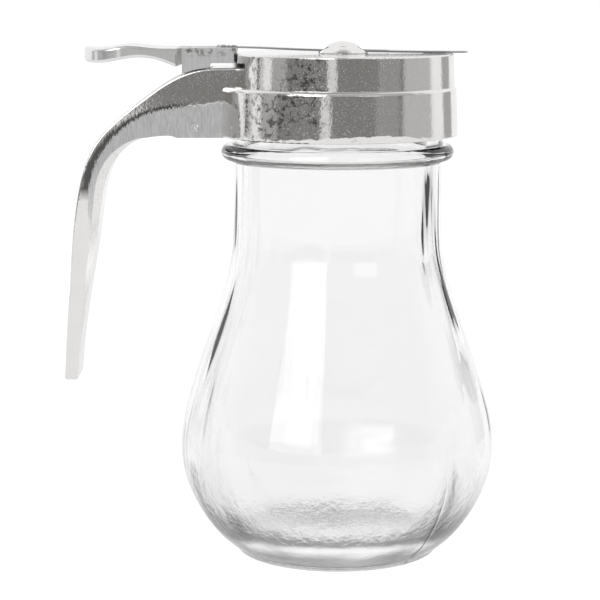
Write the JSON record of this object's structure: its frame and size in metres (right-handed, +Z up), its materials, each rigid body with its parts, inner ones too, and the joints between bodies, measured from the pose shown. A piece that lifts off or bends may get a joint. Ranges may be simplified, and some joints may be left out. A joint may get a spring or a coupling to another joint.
{
  "type": "thumb-lever syrup dispenser",
  "caption": "Glass syrup dispenser with a screw-on cast lid, handle, sprung thumb lever and a slide that uncovers the pouring hole.",
  "frame": {"origin": "centre of the jar's foot, on the table", "axes": "+Z up along the jar's axis, +X towards the pouring side, so the handle and thumb lever are at -X, +Y to the left of someone looking along +X"},
  "size_m": [0.138, 0.101, 0.165],
  "materials": {
    "glass": "clear, smooth, pressed",
    "gasket_rubber": "matt, off-white food grade",
    "chrome_casting": "polished plate over a lightly brushed casting",
    "chrome_lever": "polished plate",
    "strip_steel": "lengthwise brushed",
    "steel_hardware": "turned, satin",
    "spring_steel": "drawn wire, semi-bright"
  },
  "bodies": {
    "jar": {"glass_jar": "glass"},
    "seal": {"sealing_gasket": "gasket_rubber"},
    "lid": {"lid_casting": "chrome_casting", "dome_button": "chrome_casting", "button_screw": "steel_hardware", "lock_washer": "steel_hardware", "cross_pin": "steel_hardware", "return_spring": "spring_steel"},
    "slide": {"slide_plate": "strip_steel", "thumb_lever": "chrome_lever", "lever_rivet_rear": "steel_hardware", "lever_rivet_front": "steel_hardware"}
  },
  "joints": [
    {"name": "lid_lift", "type": "slide", "parent": "jar", "child": "seal", "axis": [0, 0, 1], "range_m": [0, 0.0057]},
    {"name": "lid_turn", "type": "hinge", "parent": "seal", "child": "lid", "pos_m": [0, 0, 0.1352], "axis": [0, 0, 1], "range_deg": [0, 450]},
    {"name": "slide_open", "type": "slide", "parent": "lid", "child": "slide", "axis": [-1, 0, 0], "range_m": [0, 0.012], "stiffness_N_per_m": 400, "springref_m": -0.012, "deforming": ["return_spring"]}
  ],
  "couplings": [
    {"joint": "lid_lift", "follows": "lid_turn", "m_per_rad": 0.0007162}
  ]
}
